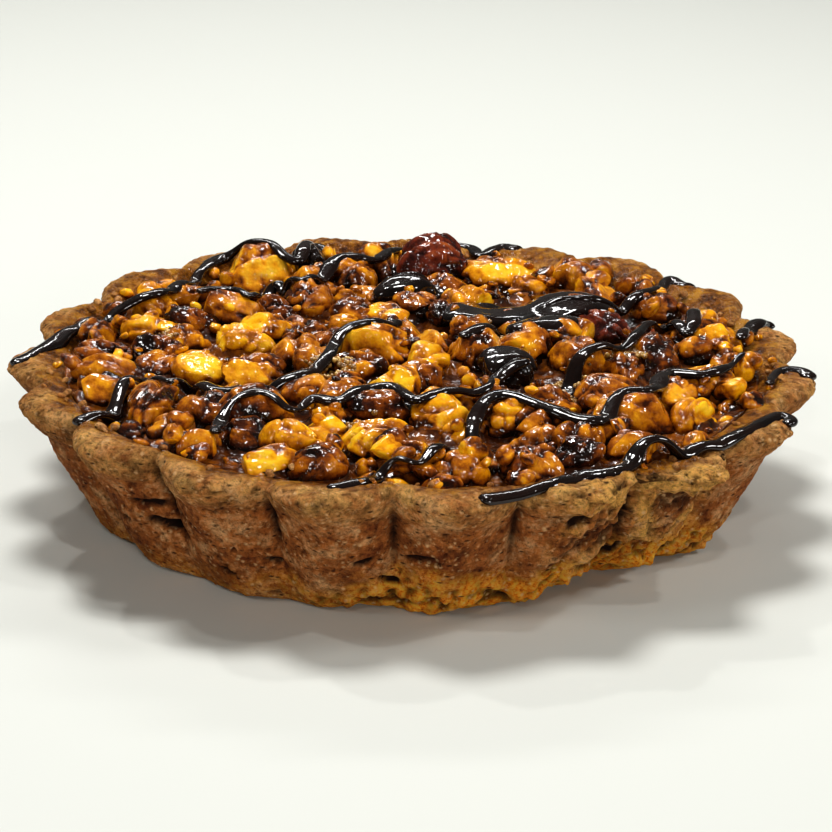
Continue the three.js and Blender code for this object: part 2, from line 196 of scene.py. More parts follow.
# The columns, evenly spread over each flute, with the flutes themselves a little uneven.
flute_place = np.arange(FLUTES * COLUMNS_IN_FLUTE) / COLUMNS_IN_FLUTE
even_turn = np.radians(FIRST_CREASE_DEG) + TURN * flute_place / FLUTES
shell_turn = even_turn - np.radians(FLUTE_WARP_DEG) * np.sin(2 * even_turn)
crest = (0.5 - 0.5 * np.cos(TURN * flute_place)) ** 0.6


def bearing(turn):
    """Degrees from the front towards +X, from -180 to 180."""
    return np.degrees(np.arctan2(np.sin(turn), np.cos(turn)))


def stretch(turn, start, full, until, end):
    """1 along the stretch of the crust from full to until, fading to 0 at start and end."""
    return smooth(start, full, bearing(turn)) * (1 - smooth(until, end, bearing(turn)))


def around(turn, radius, size):
    """The wobble field along a level ring of that radius."""
    return wobble(radius * np.sin(turn), radius * np.cos(turn), 0.0, size)


def worn(turn):
    """1 along the stretch that has crumbled."""
    return stretch(turn, 17, 27, 47, 58)


def foot_loss(turn):
    """Bites along the ragged front, a steady loss along the crumbled stretch, and its largest chip."""
    bite = clamp01(0.45 + 0.9 * around(turn, BASE_RADIUS, FOOT_BITE_LENGTH))
    lost = FOOT_BITE * bite * stretch(turn, -20, -8, 52, 62) + WORN_FOOT * worn(turn)
    return lost + FOOT_CHIP * stretch(turn, 20, 27, 37, 45)


def rim_rise(turn):
    """The rim waves up and down round the pie, stands higher at the back, and sags where it is worn."""
    back = smooth(0, 0.65, -np.cos(turn))
    rise = RIM_WAVE * around(turn, RIM_RADIUS, RIM_WAVE_LENGTH) + BACK_RISE * back
    return rise - WORN_SAG * worn(turn)


def wall_row(height, swell=0.0):
    """A row of the wall: the radius and the flutes' depth grow in a straight line with height."""
    reach = (height - FOOT_HEIGHT) / (RIM_HEIGHT - FOOT_HEIGHT)
    radius = mix(FOOT_RADIUS, RIM_RADIUS - LIP_SWELL, reach) + swell
    return [radius, height, mix(FOOT_FLUTE_DEPTH, FLUTE_DEPTH, reach), 1, 0, 0, 0, 0]


# From the middle of the base, up the wall, over the rim and down inside. Each row: radius,
# height, depth of the flutes, roughness, shares of the rim's rise, of the foot's lift and of its
# drawing in, how far it is rim, and how many finer rows follow it.
lip_foot = RIM_HEIGHT - LIP_HEIGHT
SHELL_ROWS = [
    ([0, 0, 0, 0, 0, 0, 0, 0], 4),
    ([BASE_RADIUS, 0, 0.7, 0.2, 0, 0, 1.6, 0], 7),
    ([BASE_RADIUS + 2.2, 0.9, FOOT_FLUTE_DEPTH, 1, 0, 1, 0, 0], 8),
    (wall_row(FOOT_HEIGHT)[:5] + [1, 0, 0], 20),
    (wall_row(0.5 * (FOOT_HEIGHT + lip_foot)), 20),
    (wall_row(lip_foot), 4),
    (wall_row(lip_foot + 1, LIP_SWELL)[:7] + [0.4], 9),
    ([RIM_RADIUS, RIM_HEIGHT - 1.3, FLUTE_DEPTH, 1, 0.8, 0, 0, 0.9], 6),
    ([RIM_RADIUS - 1.3, RIM_HEIGHT - 0.2, FLUTE_DEPTH, 0.7, 1, 0, 0, 1], 10),
    ([RIM_RADIUS - 4.6, RIM_HEIGHT, FLUTE_DEPTH * 0.4, 0.5, 0.9, 0, 0, 1], 12),
    ([INNER_RADIUS, INNER_EDGE_HEIGHT, 0, 0.3, 0, 0, 0, 1], 5),
    ([FLOOR_RADIUS, FLOOR_HEIGHT, 0, 0, 0, 0, 0, 0], 3),
    ([0, FLOOR_HEIGHT, 0, 0, 0, 0, 0, 0], 1),
]
coarse = np.array([row for row, _ in SHELL_ROWS], float)
along = np.concatenate([i + np.arange(n) / n for i, (_, n) in enumerate(SHELL_ROWS)])
fine = np.stack([np.interp(along, np.arange(len(coarse)), column) for column in coarse.T], -1)
for _ in range(2):  # the edges between the rows are baked round
    fine[1:-1] = 0.25 * fine[:-2] + 0.5 * fine[1:-1] + 0.25 * fine[2:]
radius, height, flute, rough, rim, foot, inward, band = (fine[:, k, None] for k in range(8))


def polar(r, turn, z):
    """Points (r sin turn, -r cos turn, z): turn runs from the front towards +X."""
    return np.stack(np.broadcast_arrays(r * np.sin(turn), -r * np.cos(turn), z), -1)


loss, wear = foot_loss(shell_turn), worn(shell_turn)
at = polar(radius, shell_turn, height)
lump = crumbs(at[..., 0], at[..., 1], at[..., 2], CRUMB_SIZE)
lump = rough * (CRUMB_RELIEF + WORN_RELIEF * wear) * lump
shell_r = radius - flute * (1 - crest) + lump - inward * loss
shell_z = height + foot * loss + rim * rim_rise(shell_turn)

# The crumb itself, in mm outwards: sandy grains 1 to 2 mm across, pits where a grain has fallen
# out, a coarser rim, and flakes broken away along the worn stretch and at the foot.
at = polar(shell_r, shell_turn, shell_z)
low_foot = 1 - smooth(1.5, 7.5, shell_z)
sandy = 0.12 * lattice(at, 0.8, 3) + 0.06 * lattice(at, 2.3, 4) + 0.2 * (0.5 - nearest_grain(at, 1.1, 16))
rim_crumb = 0.22 * lattice(at, 1.1, 5) + 0.25 * lattice(at, 4.2, 6)
rim_crumb = band * (rim_crumb + 0.4 * (0.5 - nearest_grain(at, 1.6, 17)))
pits = -0.6 * smooth(0.6, 0.85, lattice(at * [1, 1, 1.8], 1.2, 7)) * (0.4 + 0.6 * (lattice(at, 9, 8) > 0))
flakes = np.round(3.5 * lattice(at, 3.6, 9)) / 3.5
crumbled = wear * (0.8 * flakes + 1.1 * (0.5 - nearest_grain(at, 1.6, 10)) + 0.5 * lattice(at, 1.0, 11))
front_foot = low_foot * stretch(shell_turn, -22, -8, 60, 75)
ragged = front_foot * (1.3 * (0.5 - nearest_grain(at, 2.2, 12)) + 0.8 * lattice(at, 1.2, 13))

# Cracks that opened along the wall: [bearing, height, length in mm, rise in mm, width, depth].
CRACKS = [
    [-40.5, 9.4, 7.5, -1.6, 0.55, 1.6],
    [-43, 13.2, 6.0, 0.2, 0.35, 0.9],
    [-35.5, 12.6, 4.5, -0.4, 0.3, 0.8],
    [-50, 9.0, 5.0, 0.9, 0.35, 0.9],
    [-22, 7.6, 3.0, -0.6, 0.3, 0.8],
    [-30, 5.0, 3.5, -0.6, 0.3, 0.8],
    [-7, 9.6, 3.2, 0.6, 0.35, 0.9],
    [-3.2, 6.0, 3.4, -1.0, 0.4, 1.2],
    [1.5, 10.6, 5.0, 0.9, 0.35, 0.9],
    [24, 15.5, 4.0, 0.4, 0.5, 1.1],
    [33, 14.6, 5.0, -0.6, 0.5, 1.2],
    [36, 6.5, 3.4, 1.0, 0.5, 1.4],
    [44, 9.0, 3.0, 1.2, 0.45, 1.2],
    [95, 11.0, 6.0, 0.8, 0.4, 1.0],
    [138, 9.0, 7.0, -1.0, 0.45, 1.2],
    [-165, 12.0, 5.0, 0.6, 0.4, 1.0],
    [-112, 8.0, 6.0, 0.9, 0.4, 1.0],
]
crack = np.zeros_like(shell_z)
for where, level, length, rise, width, depth in CRACKS:
    run = (bearing(shell_turn) - where + 180) % 360 - 180
    run = np.radians(run) * shell_r / (0.5 * length)
    off = shell_z - level - 0.5 * rise * run - 0.35 * lattice(at, 1.4, 15)
    open_here = clamp01(1 - run * run) * (shell_r > 44) * (band < 0.5)
    crack = np.maximum(crack, 1.2 * depth * open_here * np.exp(-((off / (1.3 * width)) ** 2)))

# The mould pressed a narrow furrow into each crease, a twentieth of a flute wide, which fades at
# the foot and at the rim.
FURROW_DEPTH, FURROW_WIDTH = 1.0, 0.05
from_crease = (flute_place + 0.5) % 1 - 0.5
furrow = FURROW_DEPTH * np.exp(-((from_crease / FURROW_WIDTH) ** 2))
furrow = furrow * smooth(4, 14, shell_z) * (1 - 0.6 * band)

outwards = sandy + rim_crumb + pits + crumbled + ragged - furrow - 0.5 * wear
relief = rough * outwards - crack
slope = np.stack([np.gradient(shell_r, axis=0), np.gradient(shell_z, axis=0)], -1)
slope /= np.maximum(np.linalg.norm(slope, axis=-1, keepdims=True), 1e-6)
shell_at = polar(shell_r + relief * slope[..., 1], shell_turn, shell_z - relief * slope[..., 0])
shell_at[..., 2] = np.maximum(shell_at[..., 2], 0)
# How far a point lies down in a crack, pit or furrow, for painted shade there.
sunken = -rough * (pits + 0.4 * crumbled + 0.75 * ragged + 0.3 * sandy - 0.65 * furrow)
hollow = clamp01(smooth(0.05, 0.6, crack) + smooth(0.15, 0.75, sunken))


def linear(hex_colour):
    """A colour written as sRGB hex, turned into the linear red, green, blue and alpha."""
    srgb = np.array([int(hex_colour[i : i + 2], 16) for i in (1, 3, 5)]) / 255
    rgb = np.where(srgb > 0.04045, ((srgb + 0.055) / 1.055) ** 2.4, srgb / 12.92)
    return (*rgb, 1.0)


def add(tree, kind, *inputs, out=None, stops=(), **settings):
    """Adds a node and gives back the output named by out, or else its first one in use. inputs go
    into its sockets in use, in their order, and a setting names a property or a socket. A socket
    takes a number, a colour in sRGB hex, or the output to link. stops are a ramp's colours."""
    node = tree.nodes.new("ShaderNode" + kind)
    given = []
    for key, value in settings.items():
        if hasattr(node, key):
            setattr(node, key, value)
        else:
            given.append((node.inputs[key.replace("_", " ")], value))
    given += zip([socket for socket in node.inputs if socket.enabled], inputs)
    for socket, value in given:
        if isinstance(value, bpy.types.NodeSocket):
            tree.links.new(socket, value)
        else:
            socket.default_value = linear(value) if isinstance(value, str) else value
    while stops and len(node.color_ramp.elements) < len(stops):
        node.color_ramp.elements.new(0.5)
    for i, (place, tone) in enumerate(stops):
        stop = node.color_ramp.elements[i]
        stop.position = place
        stop.color = linear(tone) if isinstance(tone, str) else (tone, tone, tone, 1)
    in_use = [socket for socket in node.outputs if socket.enabled]
    named = [socket for socket in in_use if socket.name == (out or socket.name)]
    return named[0] if named else None


def finish_named(name):
    """An empty material and its node tree."""
    material = bpy.data.materials.new(name)
    material.use_nodes = True
    material.node_tree.nodes.clear()
    return material, material.node_tree


def per_mm(size):
    """A texture's scale on metres, from its real size in mm."""
    return 1000 / size


# Baked cocoa shortcrust: matt and sandy. Brown crumb with paler flour and sugar grains; painted
# shade in pores, cracks and sunken crumb, and painted light on raised crumb; a rim that is tanned,
# and also painted lighter on its top as if lit from above; and a warmer, more buttery colour low on
# the wall, partly the crust's own and partly a painted warm glow of reflected light. Syrup from the
# filling has soaked into the rim's inner slope and made it golden and glossy.
shortcrust, tree = finish_named("baked_cocoa_shortcrust")
own = add(tree, "TexCoord", out="Object")
mottle = add(tree, "TexNoise", own, Scale=per_mm(5), Detail=5, Roughness=0.7)
colour = add(tree, "ValToRGB", mottle, stops=[(0.36, "#8a4820"), (0.5, "#c87a3e"), (0.64, "#f2b67c")])
# The rim is lighter: partly the tan of its baked crumb, partly painted light on its top.
tan = add(tree, "Attribute", attribute_name="rim_tan", out="Fac")
patch = add(tree, "TexNoise", own, Scale=per_mm(2.6), Detail=5, Roughness=0.7)
patch = add(tree, "ValToRGB", patch, stops=[(0.36, 0.15), (0.64, 1.0)])
tan = add(tree, "Math", tan, patch, operation="MULTIPLY")
colour = add(tree, "Mix", tan, colour, "#fec676", data_type="RGBA")
fresh = add(tree, "Attribute", attribute_name="fresh", out="Fac")
fresh = add(tree, "Math", fresh, patch, operation="MULTIPLY")
colour = add(tree, "Mix", fresh, colour, "#ffc468", data_type="RGBA")
sand = add(tree, "TexNoise", own, Scale=per_mm(0.8), Detail=5, Roughness=0.8)
sand_tone = add(tree, "ValToRGB", sand, stops=[(0.35, 0.24), (0.46, 0.72), (0.58, 1.0)])
colour = add(tree, "Mix", 1.0, colour, sand_tone, data_type="RGBA", blend_type="MULTIPLY")
# Low on the wall a warmer, buttery colour: partly the crust's own, partly a painted warm glow of light
# reflected up onto the foot.
warm = add(tree, "Attribute", attribute_name="foot_warmth", out="Fac")
uneven = add(tree, "Math", patch, 0.4, 0.6, operation="MULTIPLY_ADD")
warm = add(tree, "Math", warm, uneven, operation="MULTIPLY")
buttery = add(tree, "ValToRGB", sand, stops=[(0.36, "#c45c06"), (0.44, "#ff9010"), (0.57, "#ffc648")])
colour = add(tree, "Mix", warm, colour, buttery, data_type="RGBA")
# Painted light and shade by relief: sunken crumb darker, raised crumb lighter.
raised = add(tree, "Attribute", attribute_name="raised", out="Fac")
lit = add(tree, "ValToRGB", raised, stops=[(0.15, 0.32), (0.5, 0.92), (0.75, 1.0)])
colour = add(tree, "Mix", 1.0, colour, lit, data_type="RGBA", blend_type="MULTIPLY")
speck = add(tree, "TexVoronoi", own, Scale=per_mm(1.0))
speck = add(tree, "ValToRGB", speck, stops=[(0.12, 1.0), (0.42, 0.0)])
some = add(tree, "TexNoise", own, Scale=per_mm(1.6), Detail=3, Roughness=0.7)
some = add(tree, "ValToRGB", some, stops=[(0.47, 0.0), (0.6, 0.9)])
chosen = add(tree, "Math", speck, some, operation="MULTIPLY")
colour = add(tree, "Mix", chosen, colour, "#ecc08a", data_type="RGBA")
# Painted shade: small dark spots stand for the shade inside pores.
squat = add(tree, "Mapping", own, Scale=(1, 1, 2.4))
pore = add(tree, "TexVoronoi", squat, Scale=per_mm(2.6))
pore = add(tree, "ValToRGB", pore, stops=[(0.08, 0.9), (0.2, 0.0)])
colour = add(tree, "Mix", pore, colour, "#2a1408", data_type="RGBA")
# Painted shade in cracks, pits and furrows.
deep = add(tree, "Attribute", attribute_name="hollow", out="Fac")
colour = add(tree, "Mix", deep, colour, "#241006", data_type="RGBA")
soaked = add(tree, "Attribute", attribute_name="soaked", out="Fac")
syrup = add(tree, "ValToRGB", patch, stops=[(0.2, "#54290a"), (0.6, "#a86818"), (0.95, "#d89a34")])
colour = add(tree, "Mix", soaked, colour, syrup, data_type="RGBA")
dry = add(tree, "ValToRGB", soaked, stops=[(0.1, 0.88), (0.7, 0.3)])
grit = add(tree, "TexNoise", own, Scale=per_mm(0.7), Detail=6, Roughness=0.8)
bump = add(tree, "Bump", Height=grit, Distance=0.001)
bump = add(tree, "Bump", Height=speck, Normal=bump, Strength=0.7, Distance=0.0003)
glaze = add(tree, "Math", soaked, 0.8, operation="MULTIPLY")
shader = add(
    tree, "BsdfPrincipled",
    Base_Color=colour, Roughness=dry, Normal=bump, Specular_IOR_Level=0.15,
    Coat_Weight=glaze, Coat_Roughness=0.1, Coat_IOR=1.4, Coat_Normal=bump,
)
add(tree, "OutputMaterial", shader)

# How warm and glowing, tanned and top-lit, and soaked the crust is, how much painted shade lies in
# its hollows, and how far it stands out or in, for painted light and shade: one number a point.
everywhere = np.ones_like(shell_z)
# The painted warm glow low on the wall, partly the crust's own buttery colour, reaches higher and is
# strongest along the stretch that faces the front.
front = stretch(shell_turn, -30, 2, 48, 72)
warm_height = shell_z + 2.0 * lattice(at, 5, 20) + 1.6 * lattice(at, 1.6, 23) - 3.2 * front
foot_heat = (1 - smooth(1.0, 6.0, warm_height)) * (0.4 + 0.6 * front)
RIM_TOP_ROW = 8  # of SHELL_ROWS: syrup only reached what lies inside it
soaked_to = 53.5 + 2.5 * smooth(0.1, 0.7, -np.cos(shell_turn))
inner_slope = smooth(soaked_to + 3.5, soaked_to, shell_r + 2.0 * lattice(at, 4.5, 22))
inner_slope = (along[:, None] > RIM_TOP_ROW) * inner_slope
shell = body_mesh(
    "shortcrust_shell", shell_at[None], shortcrust,
    rim_tan=(band * (0.7 + 0.3 * smooth(-0.3, 0.4, lattice(at, 3.5, 21))) * everywhere)[None],
    foot_warmth=(foot_heat * (band < 0.5) * everywhere)[None],
    hollow=(hollow * everywhere)[None],
    raised=clamp01(0.5 + rough * (sandy + 0.7 * rim_crumb + 0.6 * crumbled + 0.7 * ragged) / 0.8)[None],
    soaked=(inner_slope * everywhere)[None],
    fresh=(np.maximum(wear * smooth(-0.5, 0.4, flakes), 0.6 * front_foot) * everywhere)[None],
)
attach(shell, "root")
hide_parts("crust")


# ---- The pecan pieces ----------------------------------------------------------------------
# Pecan halves broken by hand into lumps, tossed in caramel and baked on top until they are glossy.
# Skins are amber to red-brown, with furrows and wrinkles; broken faces show yellow flesh. A few
# were dipped in chocolate. 39 large ones were laid first, and smaller ones fill the gaps.

CARAMEL_EDGE_HEIGHT, CARAMEL_DOME = 19.2, 1.5
HEAP_RADIUS = INNER_RADIUS - 0.8
LARGEST_LOOSE, SMALLEST_LOOSE = 4.5, 3.1
LOOSE_TRIES, LOOSE_SPACING = 350, 0.74

# Each kind: its tone from 0, syrup-dark, to 1, bare yellow kernel; how red its skin is; how much
# brighter its broken faces are; and how much chocolate lies on it.
PECAN_KINDS = {
    "yellow": (0.72, 0.0, 0.28, 0),
    "golden": (0.60, 0.05, 0.26, 0),
    "amber": (0.50, 0.2, 0.22, 0),
    "brown": (0.38, 0.3, 0.16, 0),
    "red": (0.42, 1.0, 0.10, 0),
    "dipped": (0.30, 0.4, 0.10, 1),
}
# Each large piece: x, y, length, width, height in mm, heading in degrees, and its kind.
LARGE_PECANS = [
    (-25, 41, 12.3, 9.5, 8.4, 12, "amber"), (-28, 22, 12, 7.5, 6.4, -18, "amber"),
    (-39, 13, 9.6, 6.2, 4.8, -25, "yellow"), (-34, 5, 6.4, 5, 5, 30, "golden"),
    (-26, 5, 8.6, 6, 5.4, 5, "yellow"), (-36.5, -22, 12.5, 7, 6.6, 78, "amber"),
    (-45, -8, 8.6, 6.5, 5.6, -20, "amber"), (-31, -7, 9.6, 6.6, 5.2, -10, "golden"),
    (-22, -27, 10, 8, 7.6, 20, "brown"), (-16, -36, 8.2, 6.5, 5.8, -20, "yellow"),
    (-19, -44, 7.6, 6, 5.6, 10, "golden"), (-10, 38, 8.4, 7.6, 7.2, 70, "golden"),
    (-16, 25, 8, 7.4, 6.6, 75, "amber"), (-9, 19, 7.2, 6.6, 5.8, 0, "amber"),
    (3, 44, 11.2, 9.4, 10.4, 5, "red"), (-1, 29, 9.2, 7.4, 6.4, 10, "dipped"),
    (-6, 1, 11.4, 8.6, 7.6, -8, "amber"), (1, -12, 6.8, 6.4, 5.8, 0, "amber"),
    (9, -1, 8.4, 7.4, 7, -40, "amber"), (-5, -25, 9.8, 7, 6.2, -10, "brown"),
    (-5, -36, 9, 6.8, 5.8, 5, "golden"), (14, 42, 11.4, 7.8, 6.6, 0, "golden"),
    (25, 40, 8.2, 7.6, 6.8, 20, "amber"), (29, 14, 9.4, 6.6, 6, -30, "red"),
    (35, 6, 6.8, 5, 6.6, 70, "red"), (14, -10, 6.8, 6.4, 6, 0, "dipped"),
    (13, -28, 7.6, 7, 6.6, 30, "golden"), (23, -35, 8.2, 6.6, 6.6, 70, "golden"),
    (31, -25, 11.6, 8.8, 7.2, 15, "amber"), (42, -10, 11.4, 7.4, 6, 5, "golden"),
    (40, -24, 6.8, 5.6, 6, 60, "yellow"), (45, 9, 9.8, 7.6, 6.8, 30, "golden"),
    (6, -46, 7.6, 5.6, 5.2, 0, "golden"), (-12, -45, 7.6, 6, 6, 15, "brown"),
    (16, -44, 7.4, 6, 5.6, -25, "brown"), (-29, -37, 7.4, 5.6, 5.2, 35, "amber"),
    (31, -37, 7, 5.8, 5.4, 20, "amber"), (-16.5, 44.5, 7, 6.6, 9, 60, "dipped"),
    (-48, 7.5, 5.4, 4, 6.4, 60, "amber"),
]
LOOSE_KINDS = ("golden", "amber", "brown", "yellow", "amber", "golden", "brown", "amber")
# Hollows of the heap, where only caramel shows: x, y and radius in mm.
HOLLOWS = [(-44, 6, 4.5), (-24, -21, 3.5), (-10, -41, 3), (25, -12, 3.6)]


def caramel_height(x, y):
    """The caramel's level: 19.2 mm at the shell and 1.5 mm more in the middle, as a paraboloid."""
    return CARAMEL_EDGE_HEIGHT + CARAMEL_DOME * clamp01(1 - (x * x + y * y) / INNER_RADIUS**2)


def placed_pecans():
    """A row for each piece: x, y, half length, half width, half height, heading, pitch, roll, rise
    above the caramel and form. After the large ones, each try draws a place and a size, and keeps
    the piece if it has room and lies in no hollow."""
    draw = draws(7)
    rows = []
    for x, y, length, width, height, heading, _ in LARGE_PECANS:
        pitch, roll = np.radians(20 * next(draw) - 10), np.radians(30 * next(draw) - 15)
        form = int(6 * next(draw))
        half = [length / 2, width / 2, height / 2]
        rows.append([x, y, *half, np.radians(heading), pitch, roll, 0.24 * height, form])
    hollows = np.array(HOLLOWS)
    for tries in range(LOOSE_TRIES):
        long = mix(LARGEST_LOOSE, SMALLEST_LOOSE, tries / LOOSE_TRIES) * (0.9 + 0.2 * next(draw))
        reach = HEAP_RADIUS * np.sqrt(next(draw))
        turn = TURN * next(draw)
        x, y = reach * np.cos(turn), reach * np.sin(turn)
        there = np.array(rows)
        room = LOOSE_SPACING * (long + 0.5 * (there[:, 2] + there[:, 3]))
        crowded = (np.hypot(there[:, 0] - x, there[:, 1] - y) <= room).any()
        hollow_here = (np.hypot(hollows[:, 0] - x, hollows[:, 1] - y) <= hollows[:, 2]).any()
        if crowded or hollow_here or reach + 0.7 * long > HEAP_RADIUS:
            continue
        wide, high = long * (0.74 + 0.2 * next(draw)), long * (0.56 + 0.2 * next(draw))
        heading, pitch = TURN * next(draw), np.radians(50 * next(draw) - 25)
        roll = np.radians(60 * next(draw) - 30)
        rise, form = long * (0.15 + 0.4 * next(draw)), int(6 * next(draw))
        rows.append([x, y, long, wide, high, heading, pitch, roll, rise, form])
    return np.array(rows)


def turned_by(heading, pitch, roll):
    """Rotation matrices: first by the roll about X, then the pitch about Y, then the heading."""
    one, nil = np.ones_like(heading), np.zeros_like(heading)
    ch, sh, cp, sp, cr, sr = (f(a) for a in (heading, pitch, roll) for f in (np.cos, np.sin))
    about_z = np.stack([ch, -sh, nil, sh, ch, nil, nil, nil, one], -1).reshape(-1, 3, 3)
    about_y = np.stack([cp, nil, sp, nil, one, nil, -sp, nil, cp], -1).reshape(-1, 3, 3)
    about_x = np.stack([one, nil, nil, nil, cr, -sr, nil, sr, cr], -1).reshape(-1, 3, 3)
    return about_z @ about_y @ about_x


def unit_balls(rows, columns):
    """Points of a unit ball: (-cos a, sin a cos s, sin a sin s), a along it and s round it."""
    a = np.linspace(0, np.pi, rows)[:, None]
    s = TURN * np.arange(columns) / columns
    return np.stack(np.broadcast_arrays(-np.cos(a), np.sin(a) * np.cos(s), np.sin(a) * np.sin(s)), -1)


def pecan_shapes(pieces, rows, columns, seed, relief=1.0):
    """Broken pecan pieces. A ball is swollen by 1.1 less a furrow along its top and ridges across
    it, cut by four planes that leave flat faces, stretched to its size, wrinkled, and put in
    place. Returns its points, how far each is broken flesh, and how dark it is made in a
    wrinkle, partly for thick syrup and partly as painted shade."""
    ball = unit_balls(rows, columns)[None]
    x, y, z = ball[..., 0], ball[..., 1], ball[..., 2]
    form = pieces[:, 9, None, None]
    furrow = 0.26 * np.exp(-((y / 0.2) ** 2)) * clamp01(1.5 * z)
    ridges = 0.07 * np.cos(3.2 * x + form) * clamp01(0.4 + z)
    lean = 0.13 * np.sin(2.3 * x + 1.7 * form) * np.sin(2.1 * y + 0.9 * form)
    points = ball * (1.1 - furrow - ridges + lean)[..., None]

    random = np.random.default_rng(seed)
    flesh = np.zeros(points.shape[:-1])
    for _ in range(4):
        facing = random.normal(size=(len(pieces), 1, 1, 3)) * [1.2, 1, 0.8]
        facing /= np.linalg.norm(facing, axis=-1, keepdims=True)
        depth = random.uniform(0.66, 1.05, (len(pieces), 1, 1))
        over = np.maximum((points * facing).sum(-1) - depth, 0)
        points = points - 0.85 * over[..., None] * facing
        flesh = np.maximum(flesh, smooth(0.0, 0.07, over))

    points = points * pieces[:, None, None, 2:5]
    own_place = points + 40.0 * np.arange(len(pieces))[:, None, None, None] + seed
    lobes = lattice(own_place, 5.2, seed)
    folds = np.abs(lattice(own_place * [0.75, 1.15, 1.15], 2.5, seed + 1))
    clefts = np.abs(lattice(own_place, 5.4, seed + 8))
    fine = lattice(own_place, 1.15, seed + 2)
    crease = smooth(0.2, 0.0, folds) * (1 - 0.5 * flesh)
    cleft = smooth(0.16, 0.0, clefts)
    push = 0.25 + 0.55 * lobes - 0.5 * crease - 0.6 * cleft
    push = push + 0.08 * fine + 0.02 * lattice(own_place, 0.6, seed + 3)
    points = points + ball * (relief * push)[..., None]
    turned = np.einsum("nij,nrcj->nrci", turned_by(pieces[:, 5], pieces[:, 6], pieces[:, 7]), points)
    level = caramel_height(pieces[:, 0], pieces[:, 1]) + pieces[:, 8]
    centre = np.stack([pieces[:, 0], pieces[:, 1], level], -1)
    # Darker in creases, clefts and the furrow, partly syrup lying thick and partly painted shade; raised
    # fine bumps are painted lighter.
    down = clamp01(0.85 * crease + 1.0 * cleft + 1.6 * furrow * (1 - flesh) - 0.5 * fine)
    return turned + centre[:, None, None], flesh, down


# A map of the heap seen from above, with a cell each half millimetre: its top, which is the
# highest point in each cell and its neighbours, and the same blurred over 2 mm.
PLAN_STEP, PLAN_REACH = 0.5, 62.0
PLAN_CELLS = int(2 * PLAN_REACH / PLAN_STEP) + 1


def plan_cells(x, y):
    """The map's row and column of the cell nearest to a place."""
    cells = np.round((np.stack([x, y], -1) + PLAN_REACH) / PLAN_STEP).astype(int)
    return tuple(np.moveaxis(np.clip(cells, 0, PLAN_CELLS - 1), -1, 0))


def sampled(plan, x, y):
    """The map's value at a place, blended between the four cells around it."""
    place = np.clip((np.stack([x, y]) + PLAN_REACH) / PLAN_STEP, 0, PLAN_CELLS - 1.001)
    i, j = place.astype(int)
    right, back = place - [i, j]
    near = mix(plan[i, j], plan[i + 1, j], right)
    far = mix(plan[i, j + 1], plan[i + 1, j + 1], right)
    return mix(near, far, back)


def blurred(values, passes):
    """Each value becomes a quarter of those before and after it and half of itself, so many times."""
    for _ in range(passes):
        ends = np.concatenate([values[:1], values, values[-1:]])
        values = 0.25 * ends[:-2] + 0.5 * values + 0.25 * ends[2:]
    return values


pecans = placed_pecans()
large = len(LARGE_PECANS)
loose_draw = np.random.default_rng(11)
kinds = [row[-1] for row in LARGE_PECANS]
kinds += [LOOSE_KINDS[i] for i in loose_draw.integers(len(LOOSE_KINDS), size=len(pecans) - large)]
piles = [
    ("pecans_large", 100, kinds[:large], pecan_shapes(pecans[:large], 36, 54, 100)),
    ("pecans_small", 200, kinds[large:], pecan_shapes(pecans[large:], 28, 42, 200)),
]
across = np.arange(PLAN_CELLS) * PLAN_STEP - PLAN_REACH
across, upwards = np.meshgrid(across, across, indexing="ij")
in_shell = np.hypot(across, upwards) < INNER_RADIUS
heap_top = np.where(in_shell, caramel_height(across, upwards), RIM_HEIGHT - 2)
for points in (shell_at, piles[0][3][0], piles[1][3][0]):
    np.maximum.at(heap_top, plan_cells(points[..., 0], points[..., 1]), points[..., 2])
beside = np.pad(heap_top, 1, mode="edge")
heap_top = np.max([beside[i : i + PLAN_CELLS, j : j + PLAN_CELLS] for i, j in np.ndindex(3, 3)], axis=0)
soft_top = blurred(blurred(heap_top, 30).T, 30).T


def filled_top(x, y):
    """The height of whatever lies at a place: a pecan, the caramel, or the crust's rim."""
    return heap_top[plan_cells(x, y)]


def pecan_fields(points, flesh, down, kinds, seed):
    """Numbers for the colour. The tone goes down in wrinkles and low on a piece, partly where the
    syrup lies thick and partly as painted shade, and deep between pieces as painted shade.
    Chocolate covers the upper part of a dipped one."""
    tone, red, bright, dipped = np.array([PECAN_KINDS[kind] for kind in kinds]).T[..., None, None]
    tone = tone + np.random.default_rng(seed).uniform(-0.07, 0.07, (len(kinds), 1, 1))
    x, y, z = points[..., 0], points[..., 1], points[..., 2]
    above = z - caramel_height(x, y)
    # Painted shade: darker low on a piece, near the caramel, partly for thick syrup there, and deep between
    # pieces, below the blurred top of the heap.
    low = 1 - smooth(-0.2, 2.4, above + 0.6 * lattice(points, 2.2, seed + 6))
    between = smooth(0.2, 2.8, sampled(soft_top, x, y) - z)
    cloud = 0.2 * lattice(points, 3.4, seed + 5) + 0.12 * lattice(points, 1.5, seed + 4)
    return dict(
        tone=tone + 0.02 + cloud + bright * (flesh - 0.3) - 0.3 * down - 0.34 * between - 0.25 * low,
        redness=clamp01(red + 0.2 * lattice(points, 2.8, seed + 9)),
        dip=dipped * smooth(0.2, 1.0, above + 0.8 * lattice(points, 2.4, seed + 7)),
    )


